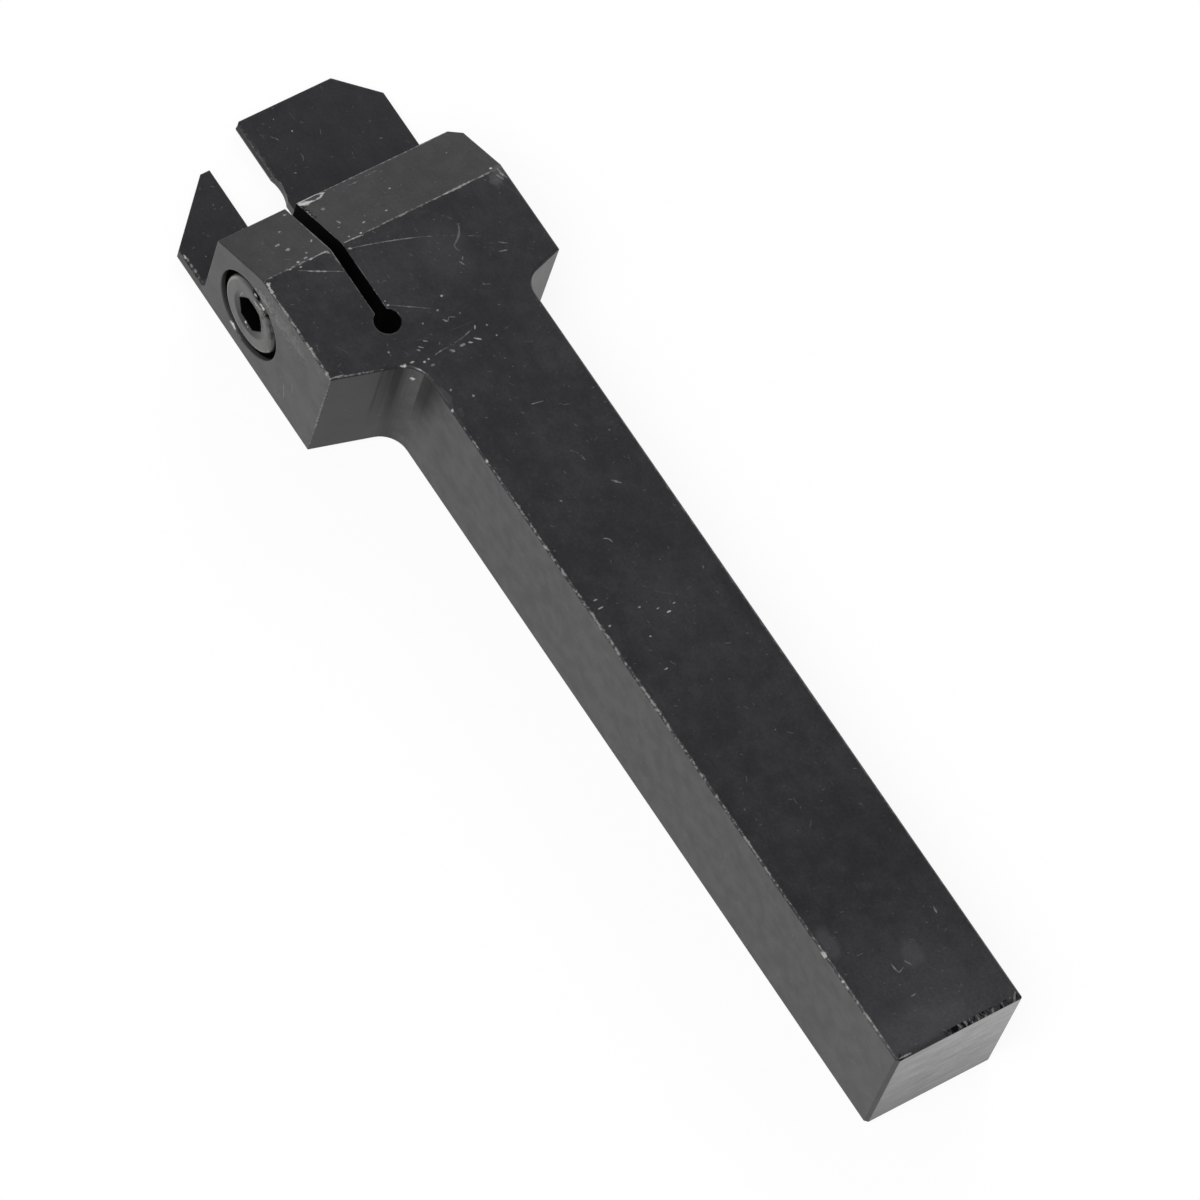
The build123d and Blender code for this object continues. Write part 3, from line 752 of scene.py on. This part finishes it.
def oxide_holder():
    """Black oxide on the milled and ground holder."""
    material, tree, shader, point, facing, rounded, flat = start_finish("black_oxide_holder", 0.18 * MM)
    along, across, high = split(tree, point)
    facing_x, facing_y, facing_z = split(tree, facing)
    fine_grain = noise(tree, point, FINE_PER_METRE, 3.0)
    coarse_grain = noise(tree, point, COARSE_PER_METRE, 3.0)

    # Painted shade in the slit, the relief hole and the deep counterbore, painted light on the
    # counterbore's upper wall
    bore_light_and_shade = use(tree, BORE_SHADING, Point=point)
    painted_recess_shade = bore_light_and_shade["Mask"]
    # Cutter lines on the neck's round, with painted shade and painted light on it
    cutter = use(tree, NECK_LINES_AND_SHADING, Point=point, Facing=facing)
    sawn_marks = use(tree, SAWN_EDGE, Point=point)
    mottle = use(tree, OXIDE_MOTTLE, Point=point, Flat=flat, Clouds_Per_Metre=120.0, Lines=0.3)

    # Bare or thin black, from the faintest to the brightest
    rub_amount = times_plus(tree, ramp_up(tree, across, -6 * MM, 3 * MM), 0.4, 0.12)
    bare = use(tree, EDGE_RUB, Point=point, Round=rounded, Facing=facing, Amount=rub_amount)[0]
    for per_metre, length, width, amount, turn, spread, share in (
        (620.0, 0.15, 0.032, 0.34, -0.95, 1.8, 0.13),
        (170.0, 0.36, 0.009, 0.35, -1.0, 2.2, 0.06),
        (330.0, 0.13, 0.018, 0.25, 0.5, 3.0, 0.12),
    ):
        scratches = use(
            tree, SHORT_SCRATCHES, Flat=flat, Per_Metre=per_metre, Length=length, Width=width,
            Amount=amount, Turn=turn, Spread=spread,
        )[0]
        bare = strongest(tree, bare, times(tree, scratches, share))
    sloped = times(tree, ramp_up(tree, facing_x, 0.3, 0.4), ramp_up(tree, facing_z, 0.5, 0.6))
    sideways = ramp_up(tree, size_of(tree, facing_y), 0.5, 0.95)
    on_head = ramp_up(tree, along, 20 * MM, 34 * MM)
    worn_more = math_node(tree, "ADD", on_head, math_node(tree, "ADD", sloped, sideways))
    for per_metre, size, amount, ragged, more, least in (
        (1000.0, 0.065, 0.36, 0.4, 0.16, 0.24),
        (2600.0, 0.14, 0.3, 0.5, 0.07, 0.05),
    ):
        dust = use(
            tree, SPECKS, Point=point, Per_Metre=per_metre, Size=size, Amount=amount, Ragged=ragged
        )[0]
        bare = strongest(tree, bare, times(tree, dust, times_plus(tree, worn_more, more, least)))
    bare = strongest(tree, bare, times(tree, sawn_marks["Burrs"], 0.26))
    bare = draw_marks(tree, point, HEAD_SCRATCHES + SHANK_SCRATCHES + RUBBED_EDGES, fine_grain, bare)
    bare = draw_patches(tree, point, BRIGHT_CHIPS, fine_grain, bare)
    bare = times(tree, bare, minus(tree, 1.0, painted_recess_shade))
    pale = draw_patches(tree, point, PALE_RUBS, coarse_grain, 0.0)
    torn = draw_patches(tree, point, DARK_CHIPS, fine_grain, 0.0)

    # Colour of the black, lighter on the sloped land and the sides as painted light for how the lamps fall
    # on them; the sawn end is made lighter further down
    blotches = times_plus(tree, coarse_grain, 0.45, times(tree, mottle["Clouds"], 0.55))
    clouds = ramp_up(tree, blotches, 0.34, 0.66)
    tone = blend(tree, clouds, *TOP_TONES)
    tone = blend(tree, sloped, tone, blend(tree, clouds, *LAND_PAINTED_LIGHT_TONES))
    side_clouds = times_plus(tree, ramp_up(tree, coarse_grain, 0.3, 0.7), 0.6, times(tree, clouds, 0.4))
    tone = blend(tree, sideways, tone, blend(tree, side_clouds, *SIDE_PAINTED_LIGHT_TONES))
    head_side = times(tree, sideways, ramp_up(tree, along, 20 * MM, 25 * MM))
    tone = tinted(tree, head_side, 0.09, tone, colour(0.11, 0.108, 0.109))

    # Painted shade on the blade's and the jaw's thin sides, on the upper shoulder and on the low blade top;
    # painted light on the lower shoulder
    heel = ramp_down(tree, across, 2 * MM, 3 * MM)
    heel = times(tree, heel, ramp_down(tree, along, 41.2 * MM, 42.6 * MM))
    thin_side_shade = times(tree, sideways, ramp_up(tree, along, 38.1 * MM, 38.5 * MM))
    thin_side_shade = times(tree, thin_side_shade, minus(tree, 1.0, heel))
    tone = tinted(tree, thin_side_shade, 0.62, tone, colour(0.01, 0.0095, 0.009))
    shoulder = times(tree, ramp_down(tree, facing_x, -0.9, -0.6), ramp_up(tree, along, 10 * MM, 14 * MM))
    upper_shoulder_shade = times(tree, shoulder, ramp_up(tree, across, 0.0, 1 * MM))
    lower_shoulder_light = times(tree, shoulder, ramp_down(tree, across, -1 * MM, 0.0))
    tone = tinted(tree, upper_shoulder_shade, 0.45, tone, colour(0.01, 0.01, 0.01))
    tone = tinted(tree, lower_shoulder_light, 0.3, tone, colour(0.13, 0.128, 0.128))
    low_blade_shade = times(tree, ramp_down(tree, high, 1.3 * MM, 1.6 * MM), ramp_up(tree, facing_z, 0.8, 0.95))
    tone = tinted(tree, low_blade_shade, 0.45, tone, colour(0.011, 0.0107, 0.0125))

    # Paler towards the sawn end, with the grain over it all
    near_end = ramp_down(tree, along, -49.5 * MM, -36 * MM)
    tone = tinted(tree, near_end, 0.14, tone, colour(0.11, 0.108, 0.108))
    # The sawn end: lighter partly from its own sawn finish and partly as painted light
    sawn = ramp_down(tree, along, -49.6 * MM, -49.45 * MM)
    sawn = times(tree, sawn, ramp_down(tree, facing_x, -0.95, -0.9))
    tone = blend(tree, sawn, tone, blend(tree, sawn_marks["Streaks"], *SAWN_TONES))
    grain = ramp_up(tree, math_node(tree, "ADD", mottle["Grain"], mottle["Lines"]), 0.2, 0.8)
    black = blend(tree, 1.0, tone, blend(tree, grain, *GRAIN_TONES), how="MULTIPLY")

    black = blend(tree, pale, black, colour(0.5, 0.5, 0.52))
    # Painted light and painted shade on the neck's round, with its cutter lines
    black = tinted(tree, cutter["Light"], 0.08, black, colour(0.07, 0.07, 0.072))
    black = blend(tree, cutter["Dark"], black, colour(0.009, 0.0075, 0.0065))
    # Painted light on the counterbore's upper wall
    black = tinted(tree, bore_light_and_shade["Wall"], 0.5, black, colour(0.12, 0.12, 0.122))
    black = blend(tree, torn, black, CHIP_AND_SHADE_BLACK)
    black = blend(tree, sawn_marks["Notches"], black, colour(0.006, 0.006, 0.006))
    black = blend(tree, bare, black, WEAR_AND_HIGHLIGHT_STEEL)
    # Painted shade: the slit, the relief hole and the deep counterbore made near black
    black = blend(tree, painted_recess_shade, black, CHIP_AND_SHADE_BLACK)

    dullest = strongest(tree, bare, torn, painted_recess_shade, cutter["Dark"], sawn_marks["Notches"])
    metal = times_plus(tree, dullest, 0.4, 0.6)
    rough = times_plus(tree, mottle["Clouds"], 0.16, 0.3)
    rough = times_plus(tree, mottle["Grain"], 0.1, rough)
    rough = times_plus(tree, painted_recess_shade, 0.4, rough)
    height = times_plus(tree, mottle["Grain"], 0.6, mottle["Lines"])
    end_finish(tree, shader, rounded, black, metal, rough, height)
    return material


def oxide_screw():
    """Black oxide on the turned screw, lighter where keys have rubbed it, with a painted highlight on one
    side of its rim, painted shade on the other side and in the socket's mouth, and painted shade with grime
    down the socket.
    """
    material, tree, shader, point, facing, rounded, flat = start_finish("black_oxide_screw", 0.1 * MM)
    fine_grain = noise(tree, point, FINE_PER_METRE, 3.0)
    mottle = use(tree, OXIDE_MOTTLE, Point=point, Flat=flat, Clouds_Per_Metre=420.0, Lines=0.0)

    # Distance from the screw's axis, and height along it
    x, height, z = split(tree, point)
    outward = from_screw_axis(tree, x, z)
    radius = length_of(tree, outward)
    # Painted shade with grime down the hex socket
    in_socket = ramp_down(tree, radius, 1.85 * MM, 1.95 * MM)
    in_socket = times(tree, in_socket, ramp_down(tree, height, 11.38 * MM, 11.43 * MM))
    # Painted highlight on the rim towards one side
    rubbed = dot(tree, vector_node(tree, "NORMALIZE", outward), RIM_HIGHLIGHT_WAY)
    rim = times(tree, ramp_up(tree, radius, 3.1 * MM, 3.25 * MM), ramp_up(tree, rubbed, -0.35, 0.2))
    rim = times(tree, rim, ramp_up(tree, height, 11.1 * MM, 11.3 * MM))
    # Painted shade in the socket's conical mouth, and on the face's side away from the rim's painted
    # highlight
    mouth = ramp_down(tree, radius, 2.0 * MM, 2.35 * MM)
    shaded = ramp_up(tree, radius, 2.3 * MM, 3.0 * MM)
    shaded = times(tree, shaded, ramp_down(tree, rubbed, -0.75, -0.2))

    rub = use(tree, EDGE_RUB, Point=point, Round=rounded, Facing=facing, Amount=0.5)[0]
    dust = use(tree, SPECKS, Point=point, Per_Metre=2200.0, Size=0.12, Amount=0.3, Ragged=0.4)[0]
    # Wear, dust and the rim's painted highlight
    bare = strongest(tree, rub, times(tree, dust, 0.25), times(tree, rim, 0.34))
    bare = draw_patches(tree, point, SCREW_BRIGHT, fine_grain, bare)
    bare = times(tree, bare, minus(tree, 1.0, in_socket))
    # Torn black chips, starting from the socket's painted shade and grime
    torn = draw_patches(tree, point, SCREW_BLACK, fine_grain, in_socket)
    tone = blend(tree, ramp_up(tree, mottle["Clouds"], 0.3, 0.7), *SCREW_TONES)
    tone = tinted(tree, mouth, 0.62, tone, SCREW_SHADE)
    tone = tinted(tree, shaded, 0.5, tone, SCREW_SHADE)
    tone = blend(tree, torn, tone, CHIP_AND_SHADE_BLACK)
    black = blend(tree, bare, tone, WEAR_AND_HIGHLIGHT_STEEL)
    metal = times_plus(tree, strongest(tree, bare, torn), 0.3, 0.7)
    rough = times_plus(tree, mottle["Clouds"], 0.2, 0.28)
    rough = times_plus(tree, in_socket, 0.5, rough)
    end_finish(tree, shader, rounded, black, metal, rough, mottle["Grain"])
    return material


def dress(piece, material):
    """Gives every slot of a piece one material."""
    if not piece.material_slots:
        piece.data.materials.append(material)
    for slot in piece.material_slots:
        slot.material = material


dress(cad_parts["holder_body"], oxide_holder())
SCREW_FINISH = oxide_screw()


# ---------------------------------------------------------------- clamp screw with its thread

THREAD_PITCH = 0.7
THREAD_DEPTH = 0.43
THREAD_CREST_RADIUS = 1.98
THREAD_TOP = 6.9  # height where the thread runs out under the head
THREAD_RUN_OUT = 0.3  # length over which the shank narrows to the thread's root
THREAD_FOOT = 0.35  # how far above the screw's tip the thread starts
THREAD_SPARE = 0.5  # how much shorter the thread is than the turned-down shank
THREAD_BASE_SHARE, THREAD_CREST_SHARE = 0.86, 0.14  # of the pitch
THREAD_SUNK = 0.02  # how deep the ridge's base sits in the core
THREAD_STEPS = 32  # per turn
THREAD_SECTION_TURN = -90.0  # degrees, lays the section's base against the core


def place_object(name, data):
    """A new object in the scene."""
    thing = bpy.data.objects.new(name, data)
    bpy.context.collection.objects.link(thing)
    return thing


def thread_tree():
    """Geometry nodes for a screw thread: a ridge of the thread's section swept along a helix."""
    tree = bpy.data.node_groups.new("thread_ridge", "GeometryNodeTree")
    sockets = {
        "Pitch": "NodeSocketFloat", "Turns": "NodeSocketFloat", "Crest Radius": "NodeSocketFloat",
        "Depth": "NodeSocketFloat", "Steps Per Turn": "NodeSocketInt", "Finish": "NodeSocketMaterial",
    }
    for label, kind in sockets.items():
        tree.interface.new_socket(name=label, in_out="INPUT", socket_type=kind)
    tree.interface.new_socket(name="Geometry", in_out="OUTPUT", socket_type="NodeSocketGeometry")
    given, result = tree.nodes.new("NodeGroupInput"), tree.nodes.new("NodeGroupOutput")
    pitch, turns, crest_radius, depth, steps, finish = list(given.outputs)[:len(sockets)]
    middle = times_plus(tree, depth, -0.5, crest_radius)
    helix = put(
        tree, "GeometryNodeCurveSpiral",
        {"Resolution": steps, "Rotations": turns, "Start Radius": middle, "End Radius": middle,
         "Height": times(tree, pitch, turns), "Reverse": True},
    ).outputs[0]
    upright = put(tree, "GeometryNodeSetCurveNormal", {"Curve": helix}, mode="Z_UP").outputs[0]
    section = put(
        tree, "GeometryNodeCurvePrimitiveQuadrilateral",
        {"Height": depth, "Bottom Width": times(tree, pitch, THREAD_BASE_SHARE),
         "Top Width": times(tree, pitch, THREAD_CREST_SHARE), "Offset": 0.0},
        mode="TRAPEZOID",
    ).outputs[0]
    turn = (0.0, 0.0, math.radians(THREAD_SECTION_TURN))
    turned = put(tree, "GeometryNodeTransform", {"Geometry": section, "Rotation": turn}).outputs[0]
    swept = put(
        tree, "GeometryNodeCurveToMesh", {"Curve": upright, "Profile Curve": turned, "Fill Caps": True}
    ).outputs[0]
    plain = put(tree, "GeometryNodeRealizeInstances", {0: swept}).outputs[0]
    finished = put(tree, "GeometryNodeSetMaterial", {"Geometry": plain, "Material": finish}).outputs[0]
    fill(tree, result, {"Geometry": finished})
    return tree


def grown_mesh(name, tree, **inputs):
    """Runs a geometry node tree on an empty mesh and returns the plain mesh that it makes."""
    holder = place_object(name + "_growing", bpy.data.meshes.new(name + "_growing"))
    modifier = holder.modifiers.new("grow", "NODES")
    modifier.node_group = tree
    for item in tree.interface.items_tree:
        key = item.name.replace(" ", "_")
        if item.in_out == "INPUT" and key in inputs:
            modifier[item.identifier] = inputs[key]
    evaluated = holder.evaluated_get(bpy.context.evaluated_depsgraph_get())
    mesh = bpy.data.meshes.new_from_object(evaluated)
    mesh.name = name
    holder.modifiers.remove(modifier)
    bpy.data.objects.remove(holder)
    return mesh


def threaded_screw():
    """The clamp screw with its shank turned down to the thread's root and the thread round it."""
    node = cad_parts["clamp_screw"]
    body = bmesh.new()
    body.from_mesh(node.data)
    bmesh.ops.remove_doubles(body, verts=body.verts, dist=0.00001 * MM)
    for level in (THREAD_TOP, THREAD_TOP - THREAD_RUN_OUT):
        bmesh.ops.bisect_plane(
            body, geom=list(body.verts) + list(body.edges) + list(body.faces), dist=1e-9,
            plane_co=mm(0, level, 0), plane_no=(0, 1, 0),
        )
    # What lies under the upper cut is turned down
    root = (THREAD_CREST_RADIUS - THREAD_DEPTH + THREAD_SUNK) * MM
    axis = Vector(mm(SCREW_X, 0.0, SCREW_Z))
    for vertex in body.verts:
        outward = vertex.co - axis
        outward.y = 0.0
        if vertex.co.y < (THREAD_TOP - 0.1) * MM and outward.length > root:
            vertex.co -= outward.normalized() * (outward.length - root)
    threaded = THREAD_TOP - THREAD_RUN_OUT - SCREW_TIP - THREAD_SPARE
    ridge = grown_mesh(
        "thread", thread_tree(), Pitch=THREAD_PITCH * MM, Turns=threaded / THREAD_PITCH,
        Crest_Radius=THREAD_CREST_RADIUS * MM, Depth=THREAD_DEPTH * MM, Steps_Per_Turn=THREAD_STEPS,
        Finish=SCREW_FINISH,
    )
    stand_up = Matrix.Rotation(math.radians(-90.0), 4, "X")
    ridge.transform(Matrix.Translation(mm(SCREW_X, SCREW_TIP + THREAD_FOOT, SCREW_Z)) @ stand_up)
    thread = bmesh.new()
    thread.from_mesh(ridge)
    if thread.calc_volume(signed=True) < 0:
        bmesh.ops.reverse_faces(thread, faces=thread.faces)
    thread.to_mesh(ridge)
    thread.free()
    body.from_mesh(ridge)
    mesh = bpy.data.meshes.new("threaded_screw")
    body.to_mesh(mesh)
    body.free()
    bpy.data.meshes.remove(ridge)
    screw = place_object("threaded_screw", mesh)
    mesh.materials.append(SCREW_FINISH)
    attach(screw, "screw")
    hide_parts("clamp_screw")


# ---------------------------------------------------------------- studio

CAMERA_PLACE = (-0.207839, 0.269344, 0.609549)
CAMERA_RIGHT = (-0.53993425, -0.82160732, 0.18284531)
CAMERA_UP = (0.78787835, -0.41689764, 0.45325938)
CAMERA_BACK = (-0.29617345, 0.38879013, 0.87242394)


def place_camera_and_light():
    """Long lens looking down on the lying holder, with large soft lamps round it."""
    camera = bpy.data.cameras.new("camera")
    camera.lens = 259.454
    camera.sensor_width = 36.0
    camera.clip_start = 0.05
    camera.clip_end = 20.0
    eye = place_object("camera", camera)
    turn = Matrix((CAMERA_RIGHT, CAMERA_UP, CAMERA_BACK)).transposed()
    eye.matrix_world = Matrix.Translation(CAMERA_PLACE) @ turn.to_4x4()
    bpy.context.scene.camera = eye

    for name, place, size, power in (
        ("overhead_lamp", (-0.30, 0.60, 1.25), 0.9, 18.0),
        ("far_side_lamp", (0.75, -0.7, 0.7), 0.7, 4.0),
    ):
        light = bpy.data.lights.new(name, "AREA")
        light.shape = "SQUARE"
        light.size = size
        light.energy = power
        lamp = place_object(name, light)
        aim = -Vector(place)
        lamp.matrix_world = Matrix.Translation(place) @ aim.to_track_quat("-Z", "Y").to_matrix().to_4x4()

    bpy.context.scene.view_settings.view_transform = "Standard"
    # Walls that shine from near the floor and get darker towards the ceiling
    world = bpy.data.worlds.new("studio")
    world.use_nodes = True
    tree = world.node_tree
    direction = put(tree, "ShaderNodeTexCoord").outputs["Generated"]
    walls = ramp_down(tree, split(tree, direction)[2], 0.15, 0.75, 0.85, 0.22)
    fill(tree, tree.nodes["Background"], {"Color": colour(1.0, 1.0, 1.0), "Strength": walls})
    bpy.context.scene.world = world


def make_floor():
    """A plain white table top under the holder."""
    sheet = bmesh.new()
    bmesh.ops.create_grid(sheet, x_segments=1, y_segments=1, size=3.0)
    mesh = bpy.data.meshes.new("table_top")
    sheet.to_mesh(mesh)
    sheet.free()
    top = place_object("table_top", mesh)
    material, tree = empty_material("white_table")
    matt = put(tree, "ShaderNodeBsdfDiffuse", {"Color": colour(0.86, 0.86, 0.86)}).outputs[0]
    bright = put(tree, "ShaderNodeEmission", {"Color": colour(1.0, 1.0, 1.0), "Strength": 1.0}).outputs[0]
    ray = put(tree, "ShaderNodeLightPath").outputs
    seen = strongest(tree, ray["Is Camera Ray"], ray["Is Glossy Ray"], ray["Is Transmission Ray"])
    white = put(tree, "ShaderNodeMixShader", {0: times(tree, seen, 0.86), 1: matt, 2: bright}).outputs[0]
    put(tree, "ShaderNodeOutputMaterial", {"Surface": white})
    mesh.materials.append(material)


place_camera_and_light()
make_floor()
threaded_screw()
